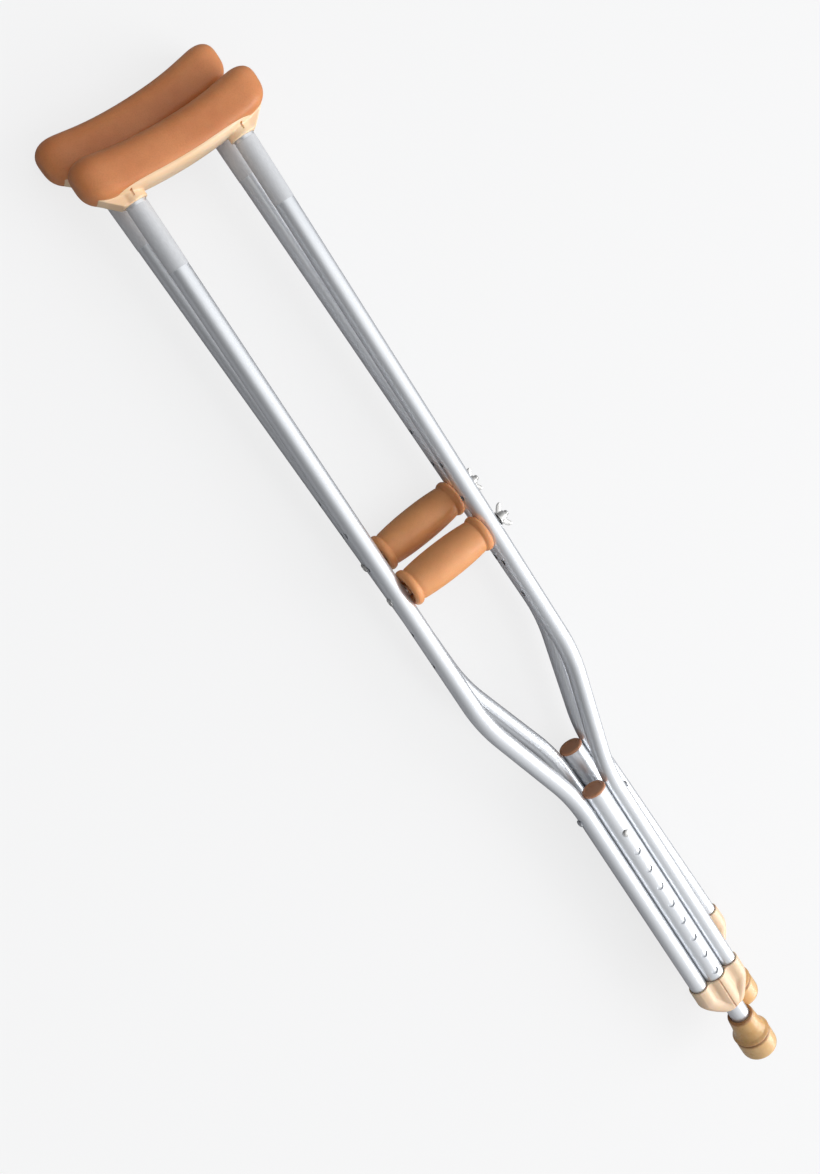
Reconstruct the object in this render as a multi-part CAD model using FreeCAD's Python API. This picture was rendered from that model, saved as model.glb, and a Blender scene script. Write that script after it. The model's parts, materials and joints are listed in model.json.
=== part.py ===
"""A pair of aluminium underarm crutches, lying stacked one on the other.

Each crutch is built standing on its own axes: X across, Y from the tip up to the
armpit pad, Z through the thickness, millimetres. Then both are laid down: the lower one
flat on the floor, the upper one on top of it, slid towards the feet and turned a little.
"""
import math
import os

import FreeCAD
import Part

V = FreeCAD.Vector
GAP = 0.3                      # air left between parts that only touch

# side tubes: straight legs that lean in a little, then bend in beside the sleeve
SIDE_R, SIDE_WALL = 9.5, 1.2
TOP_X, TOP_Y = 55.36, 1096.0
BEND1_X, BEND1_Y = 58.3, 515.0
BEND2_X, BEND2_Y = 22.3, 388.0
SIDE_FOOT_Y, BEND_R = 91.0, 180.0

# centre sleeve, the leg that slides in it, and their nine height settings
SLEEVE_R, SLEEVE_BORE, SLEEVE_FOOT, SLEEVE_TOP = 12.5, 11.1, 89.0, 379.0
LEG_R, LEG_BORE, LEG_FOOT, LEG_TOP = 11.0, 9.8, 0.8, 345.0
SETTINGS, SETTING_PITCH, TOP_SETTING = 9, 25.4, 324.5
BUTTON_R, BUTTON_TOP, SLEEVE_HOLE_R, LEG_HOLE_R = 3.95, 14.6, 4.25, 4.05
RIVET_Y, RIVET_R = 361.0, 2.4

# handgrip and its bolt, with five height settings
GRIP_Y, GRIP_PITCH, GRIP_HALF = 672.5, 38.1, 47.6
BOLT_R, BOLT_HOLE_R = 3.0, 3.25

# armpit pad and the hard saddle under it, both curved up at the ends
PAD_MID_Y, PAD_RISE, PAD_HIGH, PAD_DEEP = 1104.3, 7.5, 18.4, 21.47
SHELL_MID_Y, SHELL_END = 1090.1, 84.0
SOCKET_FOOT, SOCKET_R = 1079.5, 11.8
LABEL_FOOT, LABEL_TOP = 1018.5, 1077.0

# cap over the three tube ends, and the rubber tip
CAP_TOP, CAP_SHOULDER, CAP_FOOT = 110.5, 86.0, 66.5
CAP_NECK_X, CAP_NECK_Z = 17.0, 13.8
SOLE_Y, TIP_HIGH, TIP_MAX_R = -7.5, 51.5, 21.6

# how the two crutches lie
LIE_Z = 21.6                   # lower crutch's axis above the floor
UPPER_X, UPPER_Y, UPPER_TURN = -26.5, -34.2, -1.65
UPPER_FOOT_GAP, UPPER_HEAD_GAP = 34.8, 34.3


def cylinder(r, h, at, along=(0, 1, 0)):
    return Part.makeCylinder(r, h, V(*at), V(*along))


def box(x0, x1, y0, y1, z0, z1):
    return Part.makeBox(x1 - x0, y1 - y0, z1 - z0, V(x0, y0, z0))


def fused(shapes):
    whole = shapes[0]
    for s in shapes[1:]:
        whole = whole.fuse(s)
    return whole.removeSplitter()


def turned(points, about_x=False, at=(0, 0, 0)):
    """Revolve a closed (radius, along) outline about Y, or about X."""
    if about_x:
        pts = [V(a, r, 0) for r, a in points]
        axis = V(1, 0, 0)
    else:
        pts = [V(r, a, 0) for r, a in points]
        axis = V(0, 1, 0)
    face = Part.Face(Part.makePolygon(pts + pts[:1]))
    s = face.revolve(V(0, 0, 0), axis, 360)
    s = s if s.ShapeType == "Solid" else s.Solids[0]
    s.translate(V(*at))
    return s


def arc_points(cx, cy, r, a0, a1, n=5):
    """Points on an arc, for rounding a turned outline."""
    steps = [math.radians(a0 + (a1 - a0) * i / n) for i in range(n + 1)]
    return [(cx + r * math.cos(t), cy + r * math.sin(t)) for t in steps]


def oval(x, y_mid, high, deep, power=2.5, n=28):
    """A closed, softly squared oval across X, as a smooth wire."""
    pts = []
    for i in range(n):
        t = 2 * math.pi * i / n
        c, s = math.cos(t), math.sin(t)
        y = high * math.copysign(abs(s) ** (2 / power), s)
        z = deep * math.copysign(abs(c) ** (2 / power), c)
        pts.append(V(x, y_mid + y, z))
    curve = Part.BSplineCurve()
    curve.interpolate(Points=pts, PeriodicFlag=True)
    return Part.Wire(curve.toShape())


# ---------------------------------------------------------------- side tubes

def tube_x(y):
    """Middle of the right tube's straight upper length at height y."""
    return BEND1_X + (TOP_X - BEND1_X) * (y - BEND1_Y) / (TOP_Y - BEND1_Y)


def side_path():
    """Right tube's middle line: three straights joined by two wide bends."""
    pts = [V(TOP_X, TOP_Y, 0), V(BEND1_X, BEND1_Y, 0),
           V(BEND2_X, BEND2_Y, 0), V(BEND2_X, SIDE_FOOT_Y, 0)]
    edges, start = [], pts[0]
    for a, b, c in zip(pts, pts[1:], pts[2:]):
        before, after = (a - b).normalize(), (c - b).normalize()
        half = before.getAngle(after) / 2
        reach = BEND_R / math.tan(half)
        p, q = b + before * reach, b + after * reach
        middle = (before + after).normalize()
        centre = b + middle * (BEND_R / math.sin(half))
        edges.append(Part.makeLine(start, p))
        edges.append(Part.Arc(p, centre - middle * BEND_R, q).toShape())
        start = q
    edges.append(Part.makeLine(start, pts[-1]))
    return Part.Wire(edges)


def swept(path, r):
    along = path.Edges[0].tangentAt(path.Edges[0].FirstParameter)
    ring = Part.Wire(Part.makeCircle(r, V(TOP_X, TOP_Y, 0), along))
    return path.makePipeShell([ring], True, False)


def right_side_tube():
    path = side_path()
    tube = swept(path, SIDE_R).cut(swept(path, SIDE_R - SIDE_WALL))
    for k in range(-2, 3):
        y = GRIP_Y + k * GRIP_PITCH
        tube = tube.cut(cylinder(BOLT_HOLE_R, 30, (tube_x(y) - 15, y, 0), (1, 0, 0)))
    return tube.cut(cylinder(RIVET_R + GAP, 40, (5, RIVET_Y, 0), (1, 0, 0)))


def right_tube_label():
    foot, top = V(tube_x(LABEL_FOOT), LABEL_FOOT, 0), V(tube_x(LABEL_TOP), LABEL_TOP, 0)
    up = top - foot
    band = Part.makeCylinder(SIDE_R + 0.25, up.Length, foot, up)
    return band.cut(Part.makeCylinder(SIDE_R + 0.05, up.Length, foot, up))


def mirrored(shape):
    return shape.mirror(V(0, 0, 0), V(1, 0, 0))


# ---------------------------------------------------- armpit pad and saddle

def rise(x):
    """How far the pad and the saddle have curved up at x."""
    return PAD_RISE * (x / 85.0) ** 2


def pad_loft(grow=0.0):
    """The pad's soft body: even in the middle, fuller at the ends, and rounded off."""
    rows = [(90.0, 0.42, 0.40), (89.3, 0.58, 0.56), (87.0, 0.78, 0.76), (83.0, 0.94, 0.92),
            (76.0, 1.04, 1.0), (64.0, 1.03, 0.99), (46.0, 0.98, 0.97), (22.0, 0.96, 0.96)]
    rows = [(-x, h, d) for x, h, d in rows] + [(0.0, 0.95, 0.95)] + rows[::-1]
    wires = [oval(x * (1 + grow / 90), PAD_MID_Y + rise(x), PAD_HIGH * h + grow,
                  PAD_DEEP * d + grow, 2.8) for x, h, d in rows]
    return Part.makeLoft(wires, True, False)


def saddle_core(grow=0.0):
    """The tongue of the saddle that stands up inside the pad."""
    g = grow
    return box(-68 - g, 68 + g, 1089.5, 1104 + g, -12 - g, 12 + g)


def underarm_pad():
    pad = pad_loft().cut(saddle_core(GAP)).cut(cradle(GAP))
    pad = pad.cut(socket(1, GAP)).cut(socket(-1, GAP))
    return max(pad.Solids, key=lambda s: s.Volume)


def cradle(grow=0.0):
    """The saddle's long shell, on the same curve as the pad that sits over it."""
    wires = []
    for k in range(-9, 10):
        x = 9.0 * k
        full = (1 - (abs(x) / SHELL_END) ** 5) ** 0.5
        wires.append(oval(x * (1 + grow / 81), SHELL_MID_Y + rise(x), 2.0 + 4.3 * full + grow,
                          9.0 + 9.0 * full + grow, 3.2))
    return Part.makeLoft(wires, True, False)


def underarm_saddle():
    body = fused([cradle(), socket(1), socket(-1)]).fuse(saddle_core())
    for side in (-1, 1):
        body = body.cut(cylinder(SIDE_R + GAP, TOP_Y + GAP - 1070,
                                 (side * tube_x(1088), 1070, 0)))
        slot = box(-1.1, 1.1, 1083, 1089, 6, 20)
        slot.translate(V(side * tube_x(1088), 0, 0))
        body = body.cut(slot)
    return max(body.Solids, key=lambda s: s.Volume)


def socket(side, grow=0.0):
    """A socket for one side tube, with a gusset that runs out towards the pad's end."""
    x, g = side * tube_x(1088), grow
    barrel = cylinder(SOCKET_R + g, 1095 - SOCKET_FOOT, (x, SOCKET_FOOT, 0))
    low, high, out = SOCKET_FOOT + 1 - g, 1096 + g, side * g
    pts = [V(x, low, -10 - g), V(x + side * 11.2 + out, low, -10 - g),
           V(x + side * 26.5 + out, 1094.5 - g, -10 - g), V(x + side * 26.5 + out, high, -10 - g),
           V(x, high, -10 - g)]
    gusset = Part.Face(Part.makePolygon(pts + pts[:1])).extrude(V(0, 0, 20 + 2 * g))
    return barrel.fuse(gusset)


# ------------------------------------------------- sleeve, leg and their stop

def setting_heights():
    return [TOP_SETTING - k * SETTING_PITCH for k in range(SETTINGS)]


def centre_sleeve():
    sleeve = cylinder(SLEEVE_R, SLEEVE_TOP - SLEEVE_FOOT, (0, SLEEVE_FOOT, 0))
    sleeve = sleeve.cut(cylinder(SLEEVE_BORE, 400, (0, 50, 0)))
    for y in setting_heights():
        sleeve = sleeve.cut(cylinder(SLEEVE_HOLE_R, 40, (0, y, -20), (0, 0, 1)))
    return sleeve.cut(cylinder(RIVET_R + GAP, 40, (-20, RIVET_Y, 0), (1, 0, 0)))


def sleeve_top_plug():
    return turned([(0, SLEEVE_TOP - 9), (10.6, SLEEVE_TOP - 9), (10.8, SLEEVE_TOP + GAP),
                   (13.0, SLEEVE_TOP + GAP), (13.2, SLEEVE_TOP + 1.2),
                   (13.1, SLEEVE_TOP + 3.0), (12.2, SLEEVE_TOP + 3.8), (0, SLEEVE_TOP + 3.8)])


def cross_rivet():
    out = BEND2_X + SIDE_R + GAP
    head = [(0, out), (4.2, out), (4.1, out + 0.8), (2.9, out + 1.7), (0, out + 2.0)]
    pin = cylinder(RIVET_R, 2 * out, (-out, RIVET_Y, 0), (1, 0, 0))
    right = turned(head, about_x=True, at=(0, RIVET_Y, 0))
    return fused([pin, right, mirrored(right)])


def leg_tube():
    leg = cylinder(LEG_R, LEG_TOP - LEG_FOOT, (0, LEG_FOOT, 0))
    leg = leg.cut(cylinder(LEG_BORE, 400, (0, 0, 0)))
    return leg.cut(cylinder(LEG_HOLE_R, 40, (0, TOP_SETTING, -20), (0, 0, 1)))


def leg_top_plug():
    return turned([(0, LEG_TOP - 8), (LEG_BORE - GAP, LEG_TOP - 8),
                   (LEG_BORE - GAP, LEG_TOP + GAP), (10.8, LEG_TOP + GAP),
                   (10.8, LEG_TOP + 1.6), (10.0, LEG_TOP + 2.4), (0, LEG_TOP + 2.4)])


def snap_clip():
    """A bent spring strip inside the leg: two arms that push the buttons out."""
    low, high, bend = TOP_SETTING - 42, TOP_SETTING + 8, TOP_SETTING - 46
    outer = [(0.0, bend), (3.0, low), (5.9, TOP_SETTING - 8), (5.9, high)]
    inner = [(4.9, high), (4.9, TOP_SETTING - 8), (2.2, low + 0.6), (0.0, bend + 1.2)]
    right = outer + inner[:-1] + [(0.0, bend + 1.2)]
    pts = [V(-3.5, y, z) for z, y in right]
    arm = Part.Face(Part.makePolygon(pts + pts[:1])).extrude(V(7, 0, 0))
    return fused([arm, arm.mirror(V(0, 0, 0), V(0, 0, 1))])


def snap_button():
    """Front button: a domed stud on a flange that stays inside the leg."""
    outline = [(0, 6.2), (5.2, 6.2), (5.2, 7.4), (BUTTON_R, 7.4), (BUTTON_R, 12.6),
               (3.5, 13.7), (2.4, 14.35), (0, BUTTON_TOP)]
    pts = [V(r, 0, z) for r, z in outline]
    face = Part.Face(Part.makePolygon(pts + pts[:1]))
    s = face.revolve(V(0, 0, 0), V(0, 0, 1), 360)
    s = s if s.ShapeType == "Solid" else s.Solids[0]
    s.translate(V(0, TOP_SETTING, 0))
    return s


def bottom_cap():
    """Three lobes round the tube ends, drawn down to a neck round the leg."""
    high = CAP_TOP - CAP_SHOULDER
    lobes = [cylinder(SIDE_R + 1.9, high, (s * BEND2_X, CAP_SHOULDER, 0)) for s in (-1, 1)]
    middle = cylinder(SLEEVE_R + 1.9, high, (0, CAP_SHOULDER, 0))
    web = box(-BEND2_X, BEND2_X, CAP_SHOULDER, CAP_TOP, -9.8, 9.8)
    wide = Part.Ellipse(V(33.6, CAP_SHOULDER, 0), V(0, CAP_SHOULDER, 14.0), V(0, CAP_SHOULDER, 0))
    neck = Part.Ellipse(V(CAP_NECK_X, CAP_FOOT, 0), V(0, CAP_FOOT, CAP_NECK_Z), V(0, CAP_FOOT, 0))
    taper = Part.makeLoft([Part.Wire(wide.toShape()), Part.Wire(neck.toShape())], True, True)
    cap = fused(lobes + [middle, web, taper])
    for s in (-1, 1):
        cap = cap.cut(cylinder(SIDE_R + GAP, 40, (s * BEND2_X, SIDE_FOOT_Y - GAP, 0)))
    cap = cap.cut(cylinder(SLEEVE_R + GAP, 40, (0, SLEEVE_FOOT - GAP, 0)))
    return cap.cut(cylinder(LEG_R + GAP, 80, (0, 50, 0)))


def rubber_tip():
    sole = [(0, 1.2), (5, 1.2), (5, 0), (8, 0), (8, 1.2), (11, 1.2), (11, 0), (14, 0),
            (14, 1.2), (16.4, 1.2), (16.4, 0)]
    side = [(18.2, 0)] + arc_points(17.9, 3.0, 2.9, -60, 0, 3) + [
        (20.9, 10.0), (20.8, 17.6), (20.4, 19.0), (20.0, 20.2), (20.1, 21.4), (21.0, 22.2),
        (TIP_MAX_R, 23.2), (20.9, 24.6), (19.2, 27.0), (17.7, 30.4), (16.5, 36.3),
        (15.8, 42.2), (15.3, 48.0), (14.9, 50.6), (14.2, TIP_HIGH)]
    bore = [(LEG_R + 0.05, TIP_HIGH), (LEG_R + 0.05, 6.0), (0, 6.0)]
    return turned(sole + side + bore, at=(0, SOLE_Y, 0))


def tip_washer():
    return turned([(3.0, 6.3), (10.6, 6.3), (10.6, 8.0), (3.0, 8.0)], at=(0, SOLE_Y, 0))


# --------------------------------------------------------- handgrip and bolt

def handgrip():
    """A barrel with a rounded rim and a toothed hollow at each end."""
    rim = [(17.2, 39.6), (18.2, 40.2), (18.9, 41.8), (19.1, 43.6), (18.7, 45.6), (17.4, 47.0),
           (15.6, GRIP_HALF), (13.8, 47.2), (13.0, 46.0)]
    barrel = [(19.2, 0), (19.1, 10), (18.7, 20), (18.0, 30), (17.3, 36.4), (16.6, 38.4)]
    right = barrel + rim + [(13.0, 40.0), (6.0, 40.0)]
    left = [(r, -a) for r, a in right[1:]][::-1]
    grip = turned(right + left, about_x=True, at=(0, GRIP_Y, 0))
    teeth = []
    for side in (-1, 1):
        for k in range(14):
            tooth = box(min(side * 40.5, side * 39.5) if side > 0 else -45.2,
                        45.2 if side > 0 else -39.5, 9.6, 13.6, -0.9, 0.9)
            tooth.rotate(V(0, 0, 0), V(1, 0, 0), k * 360.0 / 14)
            tooth.translate(V(0, GRIP_Y, 0))
            teeth.append(tooth)
    return fused([grip] + teeth)


def grip_core():
    """The stiff tube inside the barrel that the bolt passes through."""
    core = cylinder(5.7, 2 * (GRIP_HALF - 0.4), (-(GRIP_HALF - 0.4), GRIP_Y, 0), (1, 0, 0))
    return core.cut(cylinder(BOLT_R + 0.08, 100, (-50, GRIP_Y, 0), (1, 0, 0)))


def washer_face():
    """Where the washer's inner face stands, just outside the right tube."""
    return tube_x(GRIP_Y) + SIDE_R + GAP


def grip_bolt():
    """A low socket head on the left tube, and a shank through to the wing nut."""
    left, right = tube_x(GRIP_Y) + SIDE_R + 0.1, washer_face() + 1.2 + GAP
    head = turned([(0, -left), (4.8, -left), (4.7, -left - 0.5), (3.7, -left - 1.1),
                   (2.0, -left - 1.3), (1.9, -left - 0.3), (0, -left - 0.3)],
                  about_x=True, at=(0, GRIP_Y, 0))
    shank = cylinder(BOLT_R, left + right + 10.7, (-left, GRIP_Y, 0), (1, 0, 0))
    return fused([head, shank])


def wing_nut_washer():
    ring = cylinder(7.0, 1.2, (washer_face(), GRIP_Y, 0), (1, 0, 0))
    return ring.cut(cylinder(BOLT_R + GAP, 10, (washer_face() - 4, GRIP_Y, 0), (1, 0, 0)))


def wing_nut():
    x = washer_face() + 1.2 + GAP
    hub = turned([(0, x), (5.4, x), (5.1, x + 3.5), (4.6, x + 7.4), (0, x + 7.4)],
                 about_x=True, at=(0, GRIP_Y, 0))
    pts = [V(x + 1.0, 3.6, -1.1), V(x + 2.0, 7.2, -1.1), V(x + 5.4, 12.4, -1.1),
           V(x + 9.4, 13.4, -1.1), V(x + 10.2, 10.2, -1.1), V(x + 6.6, 4.2, -1.1)]
    wing = Part.Face(Part.makePolygon(pts + pts[:1])).extrude(V(0, 0, 2.2))
    wing = wing.fuse(wing.mirror(V(0, 0, 0), V(0, 1, 0)))
    wing.translate(V(0, GRIP_Y, 0))
    nut = fused([hub, wing])
    return nut.cut(cylinder(BOLT_R + 0.05, 30, (x - 5, GRIP_Y, 0), (1, 0, 0)))


# ------------------------------------------------------------- both crutches

def one_crutch():
    right, label, button = right_side_tube(), right_tube_label(), snap_button()
    return {
        "underarm_pad": underarm_pad(), "underarm_saddle": underarm_saddle(),
        "left_side_tube": mirrored(right), "right_side_tube": right,
        "left_tube_label": mirrored(label), "right_tube_label": label,
        "centre_sleeve": centre_sleeve(), "sleeve_top_plug": sleeve_top_plug(),
        "cross_rivet": cross_rivet(), "bottom_cap": bottom_cap(),
        "leg_tube": leg_tube(), "leg_top_plug": leg_top_plug(), "snap_clip": snap_clip(),
        "front_button": button, "back_button": button.mirror(V(0, 0, 0), V(0, 0, 1)),
        "rubber_tip": rubber_tip(), "tip_washer": tip_washer(),
        "handgrip": handgrip(), "grip_core": grip_core(), "grip_bolt": grip_bolt(),
        "wing_nut_washer": wing_nut_washer(), "wing_nut": wing_nut(),
    }


def lying():
    """Placements of the lower and the upper crutch on a floor at Z = 0."""
    pitch = math.degrees(math.atan2(UPPER_HEAD_GAP - UPPER_FOOT_GAP, PAD_MID_Y))
    turn = FreeCAD.Rotation(V(0, 0, 1), UPPER_TURN).multiply(
        FreeCAD.Rotation(V(1, 0, 0), pitch))
    lower = FreeCAD.Placement(V(0, 0, LIE_Z), FreeCAD.Rotation())
    upper = FreeCAD.Placement(V(UPPER_X, UPPER_Y, LIE_Z + UPPER_FOOT_GAP), turn)
    return {"lower": lower, "upper": upper}


def placed():
    """Every piece of both crutches, with the pair centred over the origin."""
    pieces = {}
    crutch = one_crutch()
    for which, place in lying().items():
        for name, shape in crutch.items():
            s = shape.copy()
            s.transformShape(place.toMatrix(), True)
            pieces[which + "_" + name] = s
    around = Part.makeCompound(list(pieces.values())).optimalBoundingBox(False)
    shift = V(-around.Center.x, -around.Center.y, -around.ZMin)
    for s in pieces.values():
        s.translate(shift)
    print("shift", round(shift.x, 4), round(shift.y, 4), round(shift.z, 4))
    print("size", round(around.XLength, 2), round(around.YLength, 2), round(around.ZLength, 2))
    return pieces


def main():
    os.makedirs("parts", exist_ok=True)
    for name, shape in placed().items():
        if shape.ShapeType != "Solid" and len(shape.Solids) == 1:
            shape = shape.Solids[0]
        print(name, shape.ShapeType, len(shape.Solids), shape.isValid(), round(shape.Volume))
        shape.exportStep("parts/" + name + ".step")


main()
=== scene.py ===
"""A stacked pair of underarm crutches: what is seen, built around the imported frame.

Each new piece is a mesh in its crutch's own axes: X across, Y from the tip up to the
armpit pad, Z through the thickness. Its object carries the crutch's placement, so the
two crutches share one set of shapes and one set of materials.
"""

import json
import math

import bmesh
import bpy
import numpy as np
from mathutils import Matrix, Vector


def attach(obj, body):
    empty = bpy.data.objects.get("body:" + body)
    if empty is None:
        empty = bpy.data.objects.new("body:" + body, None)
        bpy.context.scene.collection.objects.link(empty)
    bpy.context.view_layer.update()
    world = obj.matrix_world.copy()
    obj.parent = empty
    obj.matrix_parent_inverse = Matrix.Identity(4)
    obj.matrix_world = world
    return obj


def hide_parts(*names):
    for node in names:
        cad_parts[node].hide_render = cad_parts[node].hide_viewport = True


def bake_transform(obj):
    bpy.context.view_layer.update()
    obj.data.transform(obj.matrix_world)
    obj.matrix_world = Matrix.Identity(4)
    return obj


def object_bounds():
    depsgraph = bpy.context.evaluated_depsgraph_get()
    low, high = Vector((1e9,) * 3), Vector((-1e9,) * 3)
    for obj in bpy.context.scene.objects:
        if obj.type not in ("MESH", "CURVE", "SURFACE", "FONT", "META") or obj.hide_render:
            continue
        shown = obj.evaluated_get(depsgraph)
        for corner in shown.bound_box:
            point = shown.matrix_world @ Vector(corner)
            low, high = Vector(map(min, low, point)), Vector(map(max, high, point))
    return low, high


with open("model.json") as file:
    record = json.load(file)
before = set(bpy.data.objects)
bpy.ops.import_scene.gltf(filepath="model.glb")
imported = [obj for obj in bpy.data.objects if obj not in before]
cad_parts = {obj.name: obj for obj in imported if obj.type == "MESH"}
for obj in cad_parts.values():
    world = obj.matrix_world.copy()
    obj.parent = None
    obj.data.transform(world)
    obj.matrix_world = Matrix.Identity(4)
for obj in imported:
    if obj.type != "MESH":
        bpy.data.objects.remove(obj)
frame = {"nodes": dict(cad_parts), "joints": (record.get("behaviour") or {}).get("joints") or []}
cad_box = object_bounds()

MM = 0.001
TURN = 2 * math.pi
CRUTCHES = ("lower", "upper")

# the crutch's sizes, as in the CAD source, in mm
GRIP_Y, GRIP_PITCH, BOLT_HOLE_R = 672.5, 38.1, 3.25
TOP_X, TOP_Y, BEND1_X, BEND1_Y, BEND2_Y, BEND_R = 55.36, 1096.0, 58.3, 515.0, 388.0, 180.0
SIDE_R, SIDE_WALL, SIDE_X, SIDE_FOOT = 9.5, 1.2, 22.3, 91.0
SLEEVE_R, SLEEVE_BORE, SLEEVE_FOOT, SLEEVE_TOP, SLEEVE_HOLE_R = 12.5, 11.1, 89.0, 379.0, 4.25
LEG_R, LEG_BORE, LEG_FOOT, LEG_TOP, LEG_HOLE_R = 11.0, 9.8, 0.8, 345.0, 4.05
SETTINGS, SETTING_PITCH, TOP_SETTING = 9, 25.4, 324.5
PAD_MID_Y, PAD_RISE, PAD_HIGH, PAD_DEEP = 1104.3, 7.5, 18.4, 21.47
SHELL_MID_Y, SHELL_END = 1090.1, 84.0
SOCKET_FOOT, SOCKET_R = 1079.5, 11.8
CAP_TOP, CAP_SHOULDER, CAP_FOOT = 110.5, 86.0, 66.5
CAP_NECK_X, CAP_NECK_Z = 17.0, 13.8
SOLE_Y, TIP_HIGH, TIP_MAX_R = -7.5, 51.5, 21.6
RIVET_Y, RIVET_R, GAP = 361.0, 2.4, 0.3

# what the finer shapes add to those sizes, in mm
PAD_HALF, PAD_END_FROM, PAD_END, PAD_END_SHARE = 91.0, 67.0, 24.1, 0.30
PAD_FULL_X, PAD_FULL_WIDE = 70.0, 22.0
SHELL_STEP, SHELL_STEPS = 2.93, 28
CAP_WALL, CAP_SEAM_DEEP, CAP_SEAM_WIDE, CAP_SEAM_TURN = 1.9, 0.7, 0.85, 0.21
TUBE_RIM = 0.25
THREAD_PITCH, THREAD_DEEP, THREAD_STEP = 1.0, 0.3, 0.125
GRIP_TEETH, TOOTH_HIGH = 14, 3.8


# ------------------------------------------------------------------ placing

def placement(which):
    """The crutch's own axes in the frame, read from two of its joints."""
    joints = {j["name"]: j for j in frame["joints"]}
    turn = joints[which + "_grip_turn"]
    across = Vector(turn["axis"]).normalized()
    along = -Vector(joints[which + "_leg_slide"]["axis"]).normalized()
    m = Matrix((across, along, across.cross(along))).transposed().to_4x4()
    m.translation = Vector(turn["pos_m"]) - along * GRIP_Y * MM
    return m


PLACE = {which: placement(which) for which in CRUTCHES}


def tube_x(y):
    return BEND1_X + (TOP_X - BEND1_X) * (y - BEND1_Y) / (TOP_Y - BEND1_Y)


def put(name, data):
    """A new object in the scene, showing the given data."""
    obj = bpy.data.objects.new(name, data)
    bpy.context.scene.collection.objects.link(obj)
    return obj


def add_pieces(name, mesh, body, mat, nodes):
    """One copy of the shape on each crutch, standing for its CAD nodes."""
    mesh.materials.clear()
    mesh.materials.append(mat)
    for which in CRUTCHES:
        obj = put(which + "_" + name, mesh.copy())
        obj.matrix_world = PLACE[which]
        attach(obj, which + "_" + body)
        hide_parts(*(which + "_" + n for n in nodes))


# ------------------------------------------------------------------- shapes

def make_mesh(name, verts, faces):
    """A smooth mesh from points in mm, with its faces turned outwards."""
    bm = bmesh.new()
    vs = [bm.verts.new(Vector(v) * MM) for v in verts]
    for f in faces:
        bm.faces.new([vs[i] for i in f])
    bmesh.ops.recalc_face_normals(bm, faces=bm.faces)
    mesh = bpy.data.meshes.new(name)
    bm.to_mesh(mesh)
    bm.free()
    mesh.shade_smooth()
    return mesh


def eased(points, radius, steps=3):
    """An open outline with every corner rounded."""
    pts = [Vector(p) for p in points]
    out = []
    for i, p in enumerate(pts):
        if i in (0, len(pts) - 1):
            out.append(tuple(p))
            continue
        back, on = pts[i - 1] - p, pts[i + 1] - p
        reach = min(radius, 0.45 * back.length, 0.45 * on.length)
        a, b = p + back.normalized() * reach, p + on.normalized() * reach
        for k in range(steps + 1):
            t = k / steps
            out.append(tuple(a * (1 - t) ** 2 + p * 2 * t * (1 - t) + b * t * t))
    return out


def lathe(name, outline, axis="Y", n=96, closed=False, at=0.0, ripple=None):
    """Turn an outline of (radius, along) pairs; ripple(i, angle, radius) may change a radius."""
    verts, rings = [], []
    for i, (r, a) in enumerate(outline):
        first = len(verts)
        count = 1 if r < 1e-6 else n
        for k in range(count):
            t = TURN * k / n
            rr = ripple(i, t, r) if ripple and count > 1 else r
            c, s = rr * math.cos(t), rr * math.sin(t)
            verts.append({"Y": (c, a + at, s), "X": (a, c + at, s), "Z": (c, s + at, a)}[axis])
        rings.append(list(range(first, first + count)))
    return make_mesh(name, verts, bridge(rings, closed))


def bridge(rings, closed=False):
    """Quads between neighbouring rings, or triangles where one ring is a single point."""
    faces = []
    pairs = list(zip(rings, rings[1:])) + ([(rings[-1], rings[0])] if closed else [])
    for a, b in pairs:
        n = max(len(a), len(b))
        for k in range(n):
            j = (k + 1) % n
            if len(a) == 1:
                faces.append((a[0], b[k], b[j]))
            elif len(b) == 1:
                faces.append((a[k], b[0], a[j]))
            else:
                faces.append((a[k], b[k], b[j], a[j]))
    return faces


def loft(name, sections):
    """Skin a list of equal closed sections, and close both ends at their middles."""
    first, last = ([tuple(np.mean(sections[k], axis=0))] for k in (0, -1))
    rows = [first] + sections + [last]
    verts, rings = [], []
    for row in rows:
        rings.append(list(range(len(verts), len(verts) + len(row))))
        verts += [tuple(p) for p in row]
    return make_mesh(name, verts, bridge(rings))


def prism(name, outline, z0, z1):
    """A flat outline in X and Y, made solid from z0 to z1."""
    n = len(outline)
    verts = [(x, y, z) for z in (z0, z1) for x, y in outline]
    faces = [tuple(range(n)), tuple(range(n, 2 * n))]
    faces += [(k, (k + 1) % n, n + (k + 1) % n, n + k) for k in range(n)]
    return make_mesh(name, verts, faces)


def rounded_ring(x, y_mid, high, deep, power, n, below=None):
    """A softly squared oval across X; below is the power of its underside, if another."""
    pts = []
    for k in range(n):
        t = TURN * k / n
        c, s = math.cos(t), math.sin(t)
        p = below if below and s < 0 else power
        pts.append((x, y_mid + high * math.copysign(abs(s) ** (2 / p), s),
                    deep * math.copysign(abs(c) ** (2 / p), c)))
    return pts


def joined(name, meshes):
    bm = bmesh.new()
    for m in meshes:
        bm.from_mesh(m)
    mesh = bpy.data.meshes.new(name)
    bm.to_mesh(mesh)
    bm.free()
    return mesh


def evaluated(mesh, *modifiers):
    """The mesh after a list of (type, settings) modifiers."""
    obj = put("work", mesh)
    for kind, settings in modifiers:
        mod = obj.modifiers.new(kind, kind)
        for key, value in settings.items():
            setattr(mod, key, value)
    graph = bpy.context.evaluated_depsgraph_get()
    graph.update()
    made = bpy.data.meshes.new_from_object(obj.evaluated_get(graph))
    bpy.data.objects.remove(obj)
    made.shade_smooth()
    return made


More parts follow.
